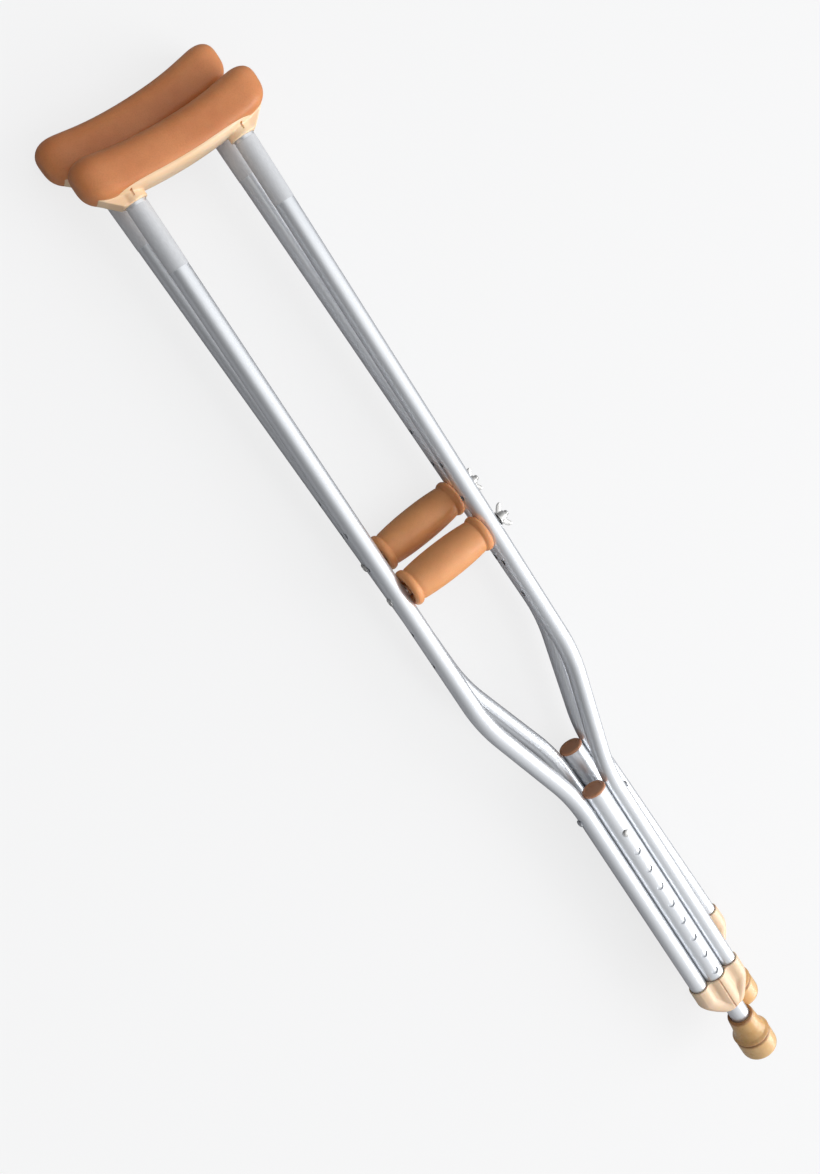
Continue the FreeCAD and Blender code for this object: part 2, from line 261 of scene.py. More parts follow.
def moulded(name, meshes, voxel, smooth, keep=0.35):
    """Overlapping shapes melted into one skin with small fillets, as moulded plastic has."""
    return evaluated(
        joined(name, meshes),
        ("REMESH", {"mode": "VOXEL", "voxel_size": voxel * MM}),
        ("SMOOTH", {"factor": 0.5, "iterations": smooth}),
        ("DECIMATE", {"ratio": keep}))


def carved(mesh, cutters):
    """The mesh with the cutters taken away."""
    for cutter in cutters:
        tool = put("cutter", cutter)
        mesh = evaluated(mesh, ("BOOLEAN", {"operation": "DIFFERENCE", "solver": "EXACT",
                                            "object": tool}))
        bpy.data.objects.remove(tool)
    mesh.set_sharp_from_angle(angle=math.radians(38))
    return mesh


def moved(mesh, x=0.0, y=0.0):
    mesh.transform(Matrix.Translation(Vector((x, y, 0.0)) * MM))
    return mesh


def mirrored(mesh, axis):
    """A copy of the mesh, mirrored through the crutch's middle along an axis."""
    made = mesh.copy()
    made.transform(Matrix.Scale(-1, 4, Vector(axis)))
    made.flip_normals()
    return made


def rod(r, y0, y1, x=0.0, flare=0.0):
    """A plain cutter along Y, opened out by flare over its last 1.2 mm."""
    outline = [(0, y0), (r, y0), (r, y1 - 1.2), (r + flare, y1), (r + flare, y1 + 3), (0, y1 + 3)]
    return moved(lathe("rod", outline, n=64), x=x)


# ---------------------------------------------------------------- materials

class Surface:
    """A node material: colour, roughness and bump all come from layered noise."""

    def __init__(self, name, **constants):
        self.mat = bpy.data.materials.new(name)
        self.mat.use_nodes = True
        self.tree = self.mat.node_tree
        self.shader = self.tree.nodes["Principled BSDF"]
        self.where = self.add("ShaderNodeTexCoord").outputs["Object"]
        for key, value in constants.items():
            self.shader.inputs[key.replace("_", " ")].default_value = value

    def add(self, kind, settings=None, **inputs):
        node = self.tree.nodes.new(kind)
        for key, value in (settings or {}).items():
            setattr(node, key, value)
        for key, value in inputs.items():
            socket = node.inputs[int(key[1:])] if key[0] == "i" and key[1:].isdigit() \
                else node.inputs[key.replace("_", " ")]
            if isinstance(value, bpy.types.NodeSocket):
                self.tree.links.new(value, socket)
            else:
                socket.default_value = value
        return node

    def stretch(self, x, y, z, turn=0.0):
        """Object coordinates scaled apart, for streaks that run one way."""
        node = self.add("ShaderNodeMapping", Vector=self.where)
        node.inputs["Scale"].default_value = (x, y, z)
        node.inputs["Rotation"].default_value = (0, 0, turn)
        return node.outputs[0]

    def noise(self, scale, detail=2.0, rough=0.5, where=None):
        return self.add("ShaderNodeTexNoise", Vector=where or self.where, Scale=scale,
                        Detail=detail, Roughness=rough).outputs["Fac"]

    def cells(self, scale):
        return self.add("ShaderNodeTexVoronoi", Vector=self.where, Scale=scale).outputs["Distance"]

    def scaled(self, value, low, high, from_low=0.3, from_high=0.7):
        node = self.add("ShaderNodeMapRange", Value=value)
        for key, number in zip(("From Min", "From Max", "To Min", "To Max"),
                               (from_low, from_high, low, high)):
            node.inputs[key].default_value = number
        return node.outputs[0]

    def blend(self, share, a, b):
        node = self.add("ShaderNodeMix", {"data_type": "RGBA"}, i0=share)
        for socket, value in ((node.inputs[6], a), (node.inputs[7], b)):
            if isinstance(value, bpy.types.NodeSocket):
                self.tree.links.new(value, socket)
            else:
                socket.default_value = (*value, 1.0)
        return node.outputs[2]

    def band(self, at, half, soft, axis="Y"):
        """1 within half of a place on one of the crutch's own axes, fading over soft, in mm."""
        place = self.add("ShaderNodeSeparateXYZ", Vector=self.where).outputs[axis]
        away = self.maths("ABSOLUTE", self.maths("SUBTRACT", place, at * MM))
        return self.scaled(away, 1.0, 0.0, half * MM, (half + soft) * MM)

    def maths(self, operation, a, b=0.0):
        return self.add("ShaderNodeMath", {"operation": operation}, i0=a, i1=b).outputs[0]

    def bumps(self, *layers):
        """Bump nodes in a chain, each (height, distance in mm, strength)."""
        before = None
        for height, distance, strength in layers:
            node = self.add("ShaderNodeBump", Height=height, Strength=strength,
                            Distance=distance * MM)
            if before:
                self.tree.links.new(before, node.inputs["Normal"])
            before = node.outputs[0]
        self.tree.links.new(before, self.shader.inputs["Normal"])

    def finish(self, colour, roughness):
        self.tree.links.new(colour, self.shader.inputs["Base Color"])
        self.tree.links.new(roughness, self.shader.inputs["Roughness"])
        return self.mat


def foam_skin(name, light, dark, gloss, grain):
    """Moulded foam: mottled colour, a fine closed skin and small pores."""
    s = Surface(name, Subsurface_Weight=0.35, Subsurface_Radius=(1.0, 0.32, 0.12),
                Subsurface_Scale=0.005, Specular_IOR_Level=0.4)
    mottle = s.scaled(s.noise(22.0, 4.0, 0.6), 0.0, 1.0)
    fine = s.noise(grain, 3.0, 0.65)
    colour = s.blend(mottle, light, dark)
    colour = s.blend(s.scaled(fine, 0.0, 0.35, 0.45, 0.75), colour, tuple(0.72 * c for c in dark))
    s.bumps((s.noise(60.0, 2.0), 0.5, 0.35), (s.cells(grain * 0.8), 0.12, 0.45),
            (fine, 0.10, 0.5))
    return s.finish(colour, s.scaled(s.noise(140.0, 3.0), gloss - 0.07, gloss + 0.1))


def moulded_plastic(name, light, dark, gloss, shine=0.0, seam=None):
    """Glossy moulded plastic with a little light let through and faint flow marks; painted shade in
    a seam.
    """
    s = Surface(name, Subsurface_Weight=0.22, Subsurface_Radius=(1.0, 0.5, 0.22),
                Subsurface_Scale=0.004, Specular_IOR_Level=0.5, Coat_Weight=shine,
                Coat_Roughness=0.12)
    flow = s.noise(26.0, 3.0, 0.55, s.stretch(1.0, 0.35, 1.0))
    colour = s.blend(s.scaled(flow, 0.0, 1.0), light, dark)
    if seam is not None:
        # painted shade: the seam groove is darkened to brown, unevenly along its length
        share = s.maths("MULTIPLY", s.band(seam, 0.6, 0.9, "X"),
                      s.scaled(s.noise(150.0, 2.0), 0.45, 0.8))
        colour = s.blend(share, colour, (0.52, 0.20, 0.065))
    s.bumps((s.noise(90.0, 2.0), 0.25, 0.25), (s.noise(1400.0, 2.0), 0.03, 0.35))
    return s.finish(colour, s.scaled(s.noise(220.0, 4.0), gloss - 0.06, gloss + 0.1))


def tip_rubber(name):
    """Amber rubber, with painted shade in the step groove and at the mouth, and darker at the
    bottom edge.
    """
    s = Surface(name, Subsurface_Weight=0.25, Subsurface_Radius=(1.0, 0.42, 0.12),
                Subsurface_Scale=0.005, Specular_IOR_Level=0.5, Coat_Weight=0.25,
                Coat_Roughness=0.15)
    flow = s.scaled(s.noise(30.0, 3.0, 0.6), 0.0, 1.0)
    colour = s.blend(flow, (0.82, 0.540, 0.250), (0.72, 0.410, 0.150))
    uneven = s.scaled(s.noise(120.0, 3.0), 0.55, 1.0)
    # painted shade: brown bands darken the step groove and the mouth; a fainter band darkens the
    # bottom edge
    for y, half, soft, strong in ((SOLE_Y + 21.6, 1.1, 2.0, 0.9), (SOLE_Y + 51.2, 0.9, 2.6, 0.8),
                                  (SOLE_Y + 0.3, 0.3, 2.0, 0.5)):
        share = s.maths("MULTIPLY", s.maths("MULTIPLY", s.band(y, half, soft), uneven), strong)
        colour = s.blend(share, colour, (0.270, 0.082, 0.025))
    s.bumps((s.noise(70.0, 2.0), 0.3, 0.3), (s.noise(1100.0, 3.0), 0.05, 0.4))
    return s.finish(colour, s.scaled(s.noise(160.0, 4.0), 0.22, 0.42))


def satin_tube(name):
    """Drawn and anodised tube: fine lines along its length, faint clouds, few scratches."""
    s = Surface(name, Metallic=0.78, Specular_IOR_Level=0.4)
    lines = s.noise(1.0, 4.0, 0.6, s.stretch(2400.0, 16.0, 2400.0))
    cloud = s.noise(34.0, 4.0, 0.6, s.stretch(1.0, 0.25, 1.0))
    colour = s.blend(s.scaled(cloud, 0.0, 1.0), (0.86, 0.875, 0.90), (0.78, 0.80, 0.83))
    colour = s.blend(s.scaled(lines, 0.0, 0.25), colour, (0.66, 0.68, 0.71))
    scratch = s.noise(1.0, 2.0, 0.5, s.stretch(90.0, 900.0, 260.0, 0.5))
    rough = s.maths("ADD", s.scaled(lines, 0.31, 0.43), s.scaled(scratch, 0.0, 0.12, 0.62, 0.72))
    s.bumps((lines, 0.012, 0.5), (s.scaled(scratch, 0.0, 1.0, 0.66, 0.7), 0.01, 0.3))
    return s.finish(colour, rough)


def plated(name, light, dark, rough):
    """Small plated or spring-steel fittings, a little dulled."""
    s = Surface(name, Metallic=1.0)
    cloud = s.noise(180.0, 4.0, 0.6)
    s.bumps((s.noise(1500.0, 3.0), 0.02, 0.4), (s.noise(300.0, 2.0), 0.04, 0.2))
    return s.finish(s.blend(s.scaled(cloud, 0.0, 1.0), light, dark),
                    s.scaled(s.noise(420.0, 4.0), rough - 0.06, rough + 0.12))


def label_film(name):
    """A plain pale film wrapped round the tube, with a faint paper grain."""
    s = Surface(name, Specular_IOR_Level=0.5, Coat_Weight=0.2, Coat_Roughness=0.2)
    grain = s.noise(1.0, 3.0, 0.6, s.stretch(900.0, 250.0, 900.0))
    s.bumps((s.noise(160.0, 2.0), 0.05, 0.3), (grain, 0.015, 0.4))
    return s.finish(s.blend(s.scaled(grain, 0.0, 1.0), (0.66, 0.67, 0.69), (0.58, 0.59, 0.61)),
                    s.scaled(s.noise(240.0, 3.0), 0.34, 0.5))


PAD_FOAM = foam_skin("pad_foam", (0.71, 0.285, 0.110), (0.58, 0.205, 0.072), 0.42, 900.0)
GRIP_FOAM = foam_skin("grip_foam", (0.82, 0.378, 0.158), (0.70, 0.295, 0.108), 0.40, 1300.0)
CREAM = moulded_plastic("cream_moulding", (0.92, 0.68, 0.46), (0.87, 0.60, 0.37), 0.34, 0.1)
# the cap's seam carries a brown line of painted shade along its groove
CREAM_CAP = moulded_plastic("cream_cap_moulding", (0.93, 0.70, 0.49), (0.89, 0.63, 0.42),
                            0.36, 0.1, seam=-2.95)
TAN = moulded_plastic("tan_moulding", (0.60, 0.30, 0.165), (0.50, 0.23, 0.12), 0.40)
TIP = tip_rubber("amber_tip")
TUBE = satin_tube("satin_tube")
STEEL = plated("nickel_plate", (0.76, 0.75, 0.73), (0.60, 0.59, 0.57), 0.30)
SPRING = plated("spring_strip", (0.40, 0.41, 0.43), (0.28, 0.29, 0.31), 0.33)
RIVET = plated("rivet_alloy", (0.66, 0.67, 0.69), (0.52, 0.53, 0.56), 0.30)
LABEL = label_film("label_film")


# ------------------------------------------------------------------- pieces

def rise(x):
    return PAD_RISE * (x / 85.0) ** 2


def pad_mesh():
    """The foam pad: even in the middle, fuller towards the ends, which are rounded off."""
    sections, rows = [], 84
    for k in range(rows + 1):
        x = PAD_HALF * math.sin((-1 + 2 * k / rows) * math.pi / 2)
        end = max(0.0, (abs(x) - PAD_END_FROM) / PAD_END)
        cap = math.sqrt(max(0.0, 1 - end ** 2.6)) if end < 1 else 0.0
        full = math.exp(-((abs(x) - PAD_FULL_X) / PAD_FULL_WIDE) ** 2)
        size = PAD_END_SHARE + (1 - PAD_END_SHARE) * cap
        high = PAD_HIGH * (1.0 + 0.05 * full) * size
        deep = PAD_DEEP * (0.97 + 0.03 * full) * size
        below = 2.6 + 1.6 * cap
        sections.append(rounded_ring(x, PAD_MID_Y - 0.4 + rise(x), high, deep, 2.8, 88, below))
    return loft("pad", sections)


def build_pad():
    add_pieces("foam_pad", pad_mesh(), "frame", PAD_FOAM, ["underarm_pad"])


def build_saddle():
    """A shell under the pad, two sockets with a rim, and gussets out to the pad's ends."""
    shell = []
    for k in range(-SHELL_STEPS, SHELL_STEPS + 1):
        x = SHELL_STEP * k
        full = (1 - (abs(x) / SHELL_END) ** 5) ** 0.5
        shell.append(rounded_ring(x, SHELL_MID_Y + rise(x), 2.0 + 4.6 * full,
                                  9.0 + 9.4 * full, 3.2, 64))
    parts = [loft("shell", shell)]
    cutters = []
    for side in (-1, 1):
        x = side * tube_x(1088)
        barrel = [(0, SOCKET_FOOT), (12.0, SOCKET_FOOT), (12.1, SOCKET_FOOT + 2.4),
                  (SOCKET_R, SOCKET_FOOT + 3.2), (12.6, 1095), (0, 1095)]
        parts.append(moved(lathe("barrel", eased(barrel, 0.6)), x=x))
        gusset = [(x - side * 15, 1092.5), (x - side * 10, 1087.0), (x - side * 4, 1083.0),
                  (x, SOCKET_FOOT + 1.0), (x + side * 11.6, SOCKET_FOOT + 1.0),
                  (x + side * 19.0, 1087.0), (x + side * 27.5, 1094.5), (x + side * 27.0, 1097.5),
                  (x, 1097)]
        parts.append(prism("gusset", gusset, -10.0, 10.0))
        cutters.append(lathe("bore", [(0, 1070), (SIDE_R + 1.0, 1070), (SIDE_R + 1.0, SOCKET_FOOT),
                                      (SIDE_R + 0.35, SOCKET_FOOT + 1.2),
                                      (SIDE_R + 0.35, TOP_Y + GAP), (0, TOP_Y + GAP)], n=64))
        moved(cutters[-1], x=x)
        slot = [(-1.0, 1083.6), (1.0, 1083.6), (1.0, 1089.0), (-1.0, 1089.0)]
        cutters.append(moved(prism("slot", slot, 10.6, 20.0), x=x))
    saddle = carved(moulded("saddle", parts, 0.62, 14), cutters)
    add_pieces("saddle_moulding", saddle, "frame", CREAM, ["underarm_saddle"])


def cap_radius(angle, y):
    """The cap's outline at a height: three lobes that draw together into an oval neck."""
    c, s = abs(math.cos(angle)), abs(math.sin(angle))
    down = min(1.0, max(0.0, (CAP_SHOULDER + 4 - y) / (CAP_SHOULDER + 4 - CAP_FOOT)))
    ease = down ** 1.45
    offset = SIDE_X * (1 - ease) + (CAP_NECK_X - CAP_NECK_Z) * ease
    lobe = (SIDE_R + CAP_WALL) * (1 - ease) + CAP_NECK_Z * ease
    middle = (SLEEVE_R + CAP_WALL) * (1 - ease) + CAP_NECK_Z * ease
    reach = [middle]
    inside = lobe ** 2 - (offset * s) ** 2
    if inside > 0:
        reach.append(offset * c + math.sqrt(inside))
    web_z, web_x = 9.3 * (1 - ease) + 10.0 * ease, offset + lobe * 0.4
    reach.append(min(web_z / max(s, 1e-6), web_x / max(c, 1e-6)))
    soft = 22.0
    r = sum(v ** soft for v in reach) ** (1 / soft)
    seam = math.exp(-((angle - math.pi / 2 - CAP_SEAM_TURN) * middle / CAP_SEAM_WIDE) ** 2)
    return r - CAP_SEAM_DEEP * seam * min(1.0, max(0.0, (CAP_TOP - 1 - y) / 4.0))


def build_cap():
    heights = [(CAP_FOOT + up, inset)
               for up, inset in ((0.0, 1.3), (0.2, 0.6), (0.7, 0.15), (1.4, 0.0))]
    heights += [(CAP_FOOT + 2.5 + 0.805 * k, 0.0) for k in range(50)]
    heights += [(CAP_TOP - 1.2, 0.0), (CAP_TOP - 0.6, 0.15), (CAP_TOP - 0.2, 0.45), (CAP_TOP, 0.9)]
    sections, around = [], 360
    for y, inset in heights:
        row = []
        for k in range(around):
            t = TURN * k / around
            r = cap_radius(t, y) - inset
            row.append((r * math.cos(t), y, r * math.sin(t)))
        sections.append(row)
    cutters = [rod(SIDE_R + 0.2, 90.7, CAP_TOP, s * SIDE_X, 0.5) for s in (-1, 1)]
    cutters.append(rod(SLEEVE_R + 0.2, 88.7, CAP_TOP, 0.0, 0.5))
    cutters.append(rod(LEG_R + 0.35, 50.0, 120.0))
    add_pieces("three_lobe_cap", carved(loft("cap", sections), cutters), "frame", CREAM_CAP,
               ["bottom_cap"])


def build_tip():
    sole = [(0, 1.2), (4.6, 1.2), (5, 0), (8, 0), (8.4, 1.2), (10.6, 1.2), (11, 0), (14, 0),
            (14.4, 1.2), (16.2, 1.2), (16.6, 0), (18.6, 0)]
    side = [(20.2, 0.9), (20.8, 3.0), (20.9, 10.0), (20.8, 18.8), (20.3, 20.2), (19.6, 21.2),
            (19.7, 22.2), (20.8, 23.0), (TIP_MAX_R - 0.2, 24.0), (20.6, 25.2), (18.7, 27.4),
            (17.3, 31.0), (16.3, 36.3), (15.7, 42.2), (15.3, 48.0), (14.9, 50.6), (14.2, TIP_HIGH)]
    bore = [(LEG_R + 0.9, TIP_HIGH), (LEG_R + 0.12, TIP_HIGH - 1.2), (LEG_R + 0.12, 6.0), (0, 6.0)]
    add_pieces("rubber_ferrule", lathe("tip", eased(sole + side + bore, 0.45), n=128, at=SOLE_Y),
               "leg", TIP, ["rubber_tip"])


def pin_cutters(r, x0, x1, heights, axis):
    """Round cutters through a tube at a list of heights."""
    return [lathe("pin", [(0, x0), (r, x0), (r, x1), (0, x1)], axis, n=40, at=y) for y in heights]


def tube_wall(name, points, outer, inner, n=112):
    """A tube wall along points in X and Y, with its outer rims chamfered."""
    points = [Vector((x, y, 0.0)) for x, y in points]
    stops = [(0, outer - TUBE_RIM), (0, outer)] + [(k, outer) for k in range(1, len(points) - 1)]
    stops += [(len(points) - 1, outer), (len(points) - 1, outer - TUBE_RIM)]
    stops += [(k, inner) for k in range(len(points) - 1, -1, -1)]
    verts, rings = [], []
    for i, (k, r) in enumerate(stops):
        on = points[min(k + 1, len(points) - 1)] - points[max(k - 1, 0)]
        side = Vector((on.y, -on.x, 0.0)).normalized()
        shift = on.normalized() * (TUBE_RIM if i == 1 else -TUBE_RIM if i == len(points) else 0.0)
        rings.append(list(range(len(verts), len(verts) + n)))
        for j in range(n):
            t = TURN * j / n
            at = points[k] + shift + side * (r * math.cos(t))
            verts.append((at.x, at.y, r * math.sin(t)))
    return make_mesh(name, verts, bridge(rings, closed=True))


def spaced(a, b, step):
    count = max(1, round(abs(b - a) / step))
    return [a + (b - a) * k / count for k in range(count + 1)]


def side_points():
    """The right tube's middle line: three straights joined by two wide bends."""
    corners = [Vector(p) for p in ((SIDE_X, SIDE_FOOT), (SIDE_X, BEND2_Y), (BEND1_X, BEND1_Y),
                                   (TOP_X, TOP_Y))]
    line, start = [], corners[0]
    for a, b, c in zip(corners, corners[1:], corners[2:]):
        back, on = (a - b).normalized(), (c - b).normalized()
        half = back.angle(on) / 2
        p, q = b + back * BEND_R / math.tan(half), b + on * BEND_R / math.tan(half)
        line += [start.lerp(p, t) for t in spaced(0, 1, 7.0 / (p - start).length)[:-1]]
        centre = b + (back + on).normalized() * BEND_R / math.sin(half)
        from_p, sweep = p - centre, (p - centre).angle_signed(q - centre)
        for k in range(21):
            turn = Matrix.Rotation(-sweep * k / 20, 2)
            line.append(centre + turn @ from_p)
        line.pop()
        start = q
    line += [start.lerp(corners[-1], t) for t in spaced(0, 1, 7.0 / (corners[-1] - start).length)]
    return [(v.x, v.y) for v in line]


def build_tubes():
    """Side tubes, sleeve and leg as fine walls with clean round holes."""
    grip_holes = [GRIP_Y + k * GRIP_PITCH for k in range(-2, 3)]
    pins = pin_cutters(BOLT_HOLE_R, 40.0, 75.0, grip_holes, "X")
    pins += pin_cutters(RIVET_R + GAP, 5.0, 45.0, [RIVET_Y], "X")
    right = carved(tube_wall("side_tube", side_points(), SIDE_R, SIDE_R - SIDE_WALL),
                   [joined("pins", pins)])
    for name, mesh in (("left", mirrored(right, (1, 0, 0))), ("right", right)):
        add_pieces(name + "_tube", mesh, "frame", TUBE, [name + "_side_tube"])

    settings = [TOP_SETTING - k * SETTING_PITCH for k in range(SETTINGS)]
    pins = pin_cutters(SLEEVE_HOLE_R, -20.0, 20.0, settings, "Z")
    pins += pin_cutters(RIVET_R + GAP, -20.0, 20.0, [RIVET_Y], "X")
    line = [(0.0, y) for y in spaced(SLEEVE_FOOT, SLEEVE_TOP, 3.2)]
    sleeve = carved(tube_wall("sleeve", line, SLEEVE_R, SLEEVE_BORE, 144), [joined("pins", pins)])
    add_pieces("sleeve", sleeve, "frame", TUBE, ["centre_sleeve"])

    line = [(0.0, y) for y in spaced(LEG_FOOT, LEG_TOP, 6.0)]
    pins = pin_cutters(LEG_HOLE_R, -20.0, 20.0, [TOP_SETTING], "Z")
    leg = carved(tube_wall("leg", line, LEG_R, LEG_BORE), pins)
    add_pieces("leg", leg, "leg", TUBE, ["leg_tube"])


def build_grip():
    """A barrel between two grooves, a rounded rim at each end, and teeth in each hollow."""
    half = [(19.2 - 2.0 * (a / 36.8) ** 2.2, a) for a in [0.01 + 2.3 * k for k in range(17)]]
    half += [(16.75, 37.9), (16.6, 38.6), (17.0, 39.3), (18.0, 40.0), (18.75, 41.4), (19.1, 43.2),
             (18.9, 44.9), (18.1, 46.3), (17.0, 47.1), (15.6, 47.5), (14.3, 47.2), (13.5, 46.4),
             (13.3, 46.6)]
    toothed = [(13.2, a) for a in (46.5, 46.1, 44.2, 42.2, 40.3)]
    inner = [(9.4, 40.0), (6.1, 40.0)]
    right = half + toothed + inner
    outline = [(r, -a) for r, a in right[::-1]] + right
    teeth = set(range(len(half), len(half) + len(toothed)))
    last = len(right) - 1

    def ripple(i, t, r):
        k = i - len(right) if i >= len(right) else last - i
        if k not in teeth:
            return r
        phase = (t * GRIP_TEETH / TURN) % 1.0
        near = min(phase, 1 - phase)
        full = min(1.0, max(0.0, (0.29 - near) / 0.12))
        return r - TOOTH_HIGH * full * full * (3 - 2 * full)

    mesh = lathe("grip", outline, "X", n=196, closed=True, at=GRIP_Y, ripple=ripple)
    add_pieces("barrel_grip", mesh, "grip", GRIP_FOAM, ["handgrip"])


def build_small_parts():
    plug = [(0, SLEEVE_TOP - 9), (10.6, SLEEVE_TOP - 9), (10.8, SLEEVE_TOP + GAP),
            (13.1, SLEEVE_TOP + GAP), (13.2, SLEEVE_TOP + 2.2), (12.2, SLEEVE_TOP + 3.3),
            (9.5, SLEEVE_TOP + 3.5), (8.9, SLEEVE_TOP + 2.9), (5.0, SLEEVE_TOP + 2.8),
            (0, SLEEVE_TOP + 2.8)]
    add_pieces("sleeve_plug", lathe("plug", eased(plug, 0.7)), "frame", TAN,
               ["sleeve_top_plug"])

    out = SIDE_X + SIDE_R + GAP
    head = [(2.4, out - 0.5), (2.4, out), (4.1, out), (4.2, out + 0.3), (3.6, out + 1.2),
            (2.3, out + 1.8), (1.0, out + 2.0), (0, out + 2.0)]
    rivet = [(r, -a) for r, a in head[::-1]] + head
    add_pieces("rivet", lathe("rivet", eased(rivet, 0.4), "X", n=48, at=RIVET_Y), "frame", RIVET,
               ["cross_rivet"])

    stud = [(0, 6.2), (5.2, 6.2), (5.2, 7.4), (3.95, 7.4), (3.95, 12.3), (3.75, 13.2), (3.1, 14.0),
            (2.0, 14.45), (0.9, 14.6), (0, 14.6)]
    front = lathe("stud", eased(stud, 0.35), "Z", n=48, at=TOP_SETTING)
    for name, mesh in (("front", front), ("back", mirrored(front, (0, 0, 1)))):
        add_pieces(name + "_stud", mesh, name + "_button", STEEL,
                   [name + "_button"])


def build_bolt():
    """The grip bolt, with a low socket head and a threaded end, and the wing nut on it."""
    left = tube_x(GRIP_Y) + SIDE_R + 0.1
    face = tube_x(GRIP_Y) + SIDE_R + GAP + 1.2 + GAP
    end = face + 10.7
    head = [(0, -left - 0.3), (1.9, -left - 0.3), (2.0, -left - 1.3), (3.7, -left - 1.1),
            (4.7, -left - 0.5), (4.8, -left), (2.95, -left)]
    shank = [(2.95, a) for a in (-left + 2, 0.0, face - 6)]
    steps = int((end - face + 4) / THREAD_STEP)
    thread = [(2.95, face - 5 + THREAD_STEP * k) for k in range(steps)]
    tail = [(2.3, end - 0.2), (0, end)]
    outline = eased(head, 0.2) + shank + thread + tail
    first = len(outline) - len(thread) - len(tail)

    def ripple(i, t, r):
        if not first <= i < first + len(thread):
            return r
        turn = (outline[i][1] / THREAD_PITCH - t / TURN) % 1.0
        return r - THREAD_DEEP * abs(2 * turn - 1)

    add_pieces("bolt", lathe("bolt", outline, "X", n=40, at=GRIP_Y, ripple=ripple), "frame",
               STEEL, ["grip_bolt"])

    hub = [(0, face), (5.3, face), (5.1, face + 3.5), (4.5, face + 6.8), (4.0, face + 7.4),
           (0, face + 7.4)]
    parts = [lathe("hub", eased(hub, 0.4), "X", n=64)]
    # each wing leans out from the hub: (along the bolt, away from it, half width, half thickness)
    wing = [(1.8, 2.6, 3.4, 1.5), (3.0, 5.0, 3.1, 1.3), (4.4, 7.4, 2.9, 1.15),
            (6.0, 9.6, 2.7, 1.1), (7.5, 11.2, 2.2, 1.05), (8.8, 12.2, 1.1, 0.8)]
    lean_along, lean_away = 0.78, 0.62
    for up in (-1, 1):
        rows = []
        for a, h, width, thick in wing:
            rows.append([(face + a + width * math.cos(t) * lean_along,
                          up * (h - width * math.cos(t) * lean_away), thick * math.sin(t))
                         for t in (TURN * j / 20 for j in range(20))])
        parts.append(loft("wing", rows))
    nut = moved(moulded("wing_nut", parts, 0.3, 3, 0.5), y=GRIP_Y)
    bore = lathe("bore", [(0, face - 2), (3.05, face - 2), (3.05, face + 12), (0, face + 12)], "X",
                 n=40, at=GRIP_Y)
    add_pieces("wing_nut_casting", carved(nut, [bore]), "wing_nut", STEEL,
               ["wing_nut"])


def build_clip():
    """The spring clip's two arms, which push the buttons out, in one fixed shape."""
    low, free = TOP_SETTING - 42, TOP_SETTING - 7
    line = eased([(low - 4, 0.55), (low, 2.6), (free - 1, 5.4), (TOP_SETTING + 8, 5.4)], 4.0, 6)
    rows = []
    for i, (y, z) in enumerate(line):
        on = (Vector(line[min(i + 1, len(line) - 1)]) - Vector(line[max(i - 1, 0)])).normalized()
        row = []
        for k in range(32):
            c, s = math.cos(TURN * k / 32), math.sin(TURN * k / 32)
            wide = 3.5 * math.copysign(abs(c) ** 0.25, c)
            thick = 0.5 * math.copysign(abs(s) ** 0.25, s)
            row.append((wide, y - thick * on.y, z + thick * on.x))
        rows.append(row)
    front = loft("clip_arm", rows)
    back = mirrored(front, (0, 0, 1))
    for which in CRUTCHES:
        for name, mesh in (("front", front), ("back", back)):
            obj = put(which + "_" + name + "_clip_arm", mesh.copy())
            obj.data.materials.append(SPRING)
            obj.matrix_world = PLACE[which]
            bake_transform(obj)
            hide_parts(which + "_snap_clip")


def dress_cad_nodes():
    """Nodes whose shape is already right keep it and get a fitting material."""
    kept = {"left_tube_label": LABEL, "right_tube_label": LABEL, "leg_top_plug": TAN,
            "tip_washer": STEEL, "grip_core": TAN, "wing_nut_washer": STEEL}
    for which in CRUTCHES:
        for name, mat in kept.items():
            mesh = frame["nodes"][which + "_" + name].data
            mesh.materials.clear()
            mesh.materials.append(mat)


# -------------------------------------------------- floor, lights and camera

FLOOR_SIZE, FLOOR_GLOW = 14.0, 0.77
FLOOR_SEEN, FLOOR_BOUNCE, GLOW_WHITE = (0.16, 0.16, 0.163, 1), (0.34, 0.34, 0.35, 1), (1, 1, 1, 1)
KEY_AT, KEY_SIZE, KEY_POWER = Vector((2.35, -1.95, 1.75)), 2.6, 88.0
TOP_AT, TOP_SIZE, TOP_POWER = Vector((0.3, 0.2, 2.8)), 2.6, 7.0
SKY_TOWARDS, SKY_DIM, SKY_BRIGHT = Vector((0.66, -0.70, 0.25)).normalized(), 0.12, 1.00
SKY_COLOUR, WALL_COLOUR = (0.97, 0.985, 1.0, 1), (0.90, 0.90, 0.905, 1)
CAMERA_AT, CAMERA_AIM = Vector((-0.2784, 0.3795, 0.9721)), Vector((-0.05116, 0.09387, 0.05))
CAMERA_ROLL, CAMERA_LENS = -104.04, 32.19


def by_ray(tree, bounced, seen):
    """One shader for bounced light and another for what the camera sees directly."""
    path = tree.nodes.new("ShaderNodeLightPath")
    mix = tree.nodes.new("ShaderNodeMixShader")
    tree.links.new(path.outputs["Is Camera Ray"], mix.inputs[0])
    tree.links.new(bounced.outputs[0], mix.inputs[1])
    tree.links.new(seen.outputs[0], mix.inputs[2])
    return mix.outputs[0]


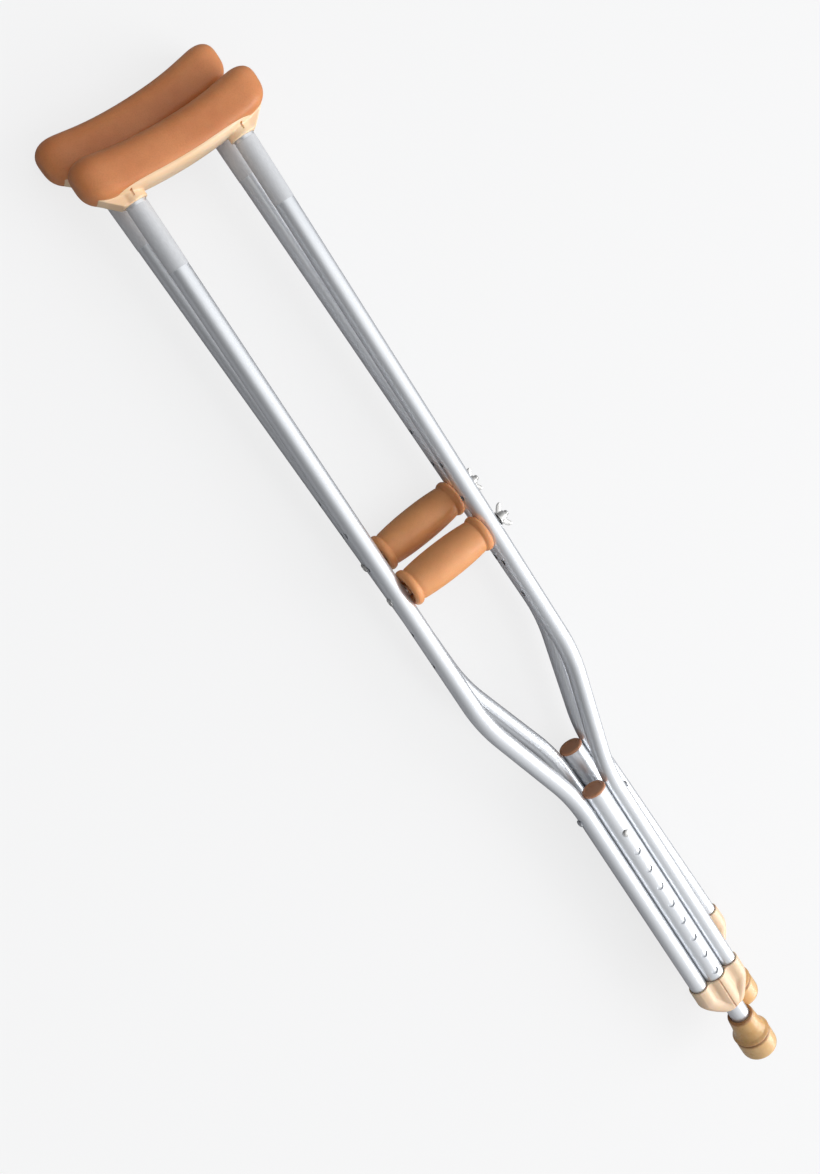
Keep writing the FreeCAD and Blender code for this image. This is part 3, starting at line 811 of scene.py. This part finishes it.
def floor():
    """A pale floor that looks nearly white but bounces only a little light."""
    bm = bmesh.new()
    bmesh.ops.create_grid(bm, x_segments=8, y_segments=8, size=FLOOR_SIZE / 2)
    mesh = bpy.data.meshes.new("floor")
    bm.to_mesh(mesh)
    bm.free()
    obj = put("floor", mesh)
    mat = bpy.data.materials.new("floor_paint")
    mat.use_nodes = True
    tree = mat.node_tree
    tree.nodes.clear()
    out = tree.nodes.new("ShaderNodeOutputMaterial")
    both = tree.nodes.new("ShaderNodeAddShader")
    paint = tree.nodes.new("ShaderNodeBsdfDiffuse")
    paint.inputs["Color"].default_value = FLOOR_SEEN
    glow = tree.nodes.new("ShaderNodeEmission")
    glow.inputs["Color"].default_value = GLOW_WHITE
    glow.inputs["Strength"].default_value = FLOOR_GLOW
    dim = tree.nodes.new("ShaderNodeBsdfDiffuse")
    dim.inputs["Color"].default_value = FLOOR_BOUNCE
    tree.links.new(paint.outputs[0], both.inputs[0])
    tree.links.new(glow.outputs[0], both.inputs[1])
    tree.links.new(by_ray(tree, dim, both), out.inputs[0])
    mesh.materials.append(mat)


def area_light(name, at, aim, size, power):
    data = bpy.data.lights.new(name, "AREA")
    data.shape, data.size, data.energy = "SQUARE", size, power
    obj = put(name, data)
    obj.location = at
    obj.rotation_euler = (aim - at).to_track_quat("-Z", "Y").to_euler()


def sky():
    """Soft light, brightest past the feet on the wing-nut side; the view past the floor is pale."""
    world = bpy.data.worlds.new("studio")
    bpy.context.scene.world = world
    world.use_nodes = True
    tree = world.node_tree
    back = tree.nodes["Background"]
    where = tree.nodes.new("ShaderNodeTexCoord")
    along = tree.nodes.new("ShaderNodeVectorMath")
    along.operation = "DOT_PRODUCT"
    along.inputs[1].default_value = SKY_TOWARDS
    ramp = tree.nodes.new("ShaderNodeMapRange")
    ramp.interpolation_type = "SMOOTHSTEP"
    tree.links.new(where.outputs["Generated"], along.inputs[0])
    tree.links.new(along.outputs["Value"], ramp.inputs[0])
    for key, value in (("From Min", -0.75), ("From Max", 0.85), ("To Min", SKY_DIM),
                       ("To Max", SKY_BRIGHT)):
        ramp.inputs[key].default_value = value
    tree.links.new(ramp.outputs[0], back.inputs["Strength"])
    back.inputs["Color"].default_value = SKY_COLOUR
    wall = tree.nodes.new("ShaderNodeBackground")
    wall.inputs["Color"].default_value = WALL_COLOUR
    tree.links.new(by_ray(tree, back, wall), tree.nodes["World Output"].inputs["Surface"])


def camera():
    data = bpy.data.cameras.new("camera")
    data.lens, data.sensor_width, data.clip_start = CAMERA_LENS, 36.0, 0.01
    obj = put("camera", data)
    view = (CAMERA_AIM - CAMERA_AT).normalized()
    side = view.cross(Vector((0, 0, 1))).normalized()
    up = side.cross(view)
    a = math.radians(CAMERA_ROLL)
    up, side = up * math.cos(a) + side * math.sin(a), side * math.cos(a) - up * math.sin(a)
    m = Matrix((side, up, -view)).transposed().to_4x4()
    m.translation = CAMERA_AT
    obj.matrix_world = m
    bpy.context.scene.camera = obj


build_pad()
build_saddle()
build_tubes()
build_cap()
build_tip()
build_grip()
build_small_parts()
build_bolt()
build_clip()
dress_cad_nodes()
floor()
sky()
middle = (cad_box[0] + cad_box[1]) / 2
area_light("key", KEY_AT, middle, KEY_SIZE, KEY_POWER)
area_light("top", TOP_AT, middle, TOP_SIZE, TOP_POWER)
camera()
bpy.context.scene.view_settings.view_transform = "Standard"
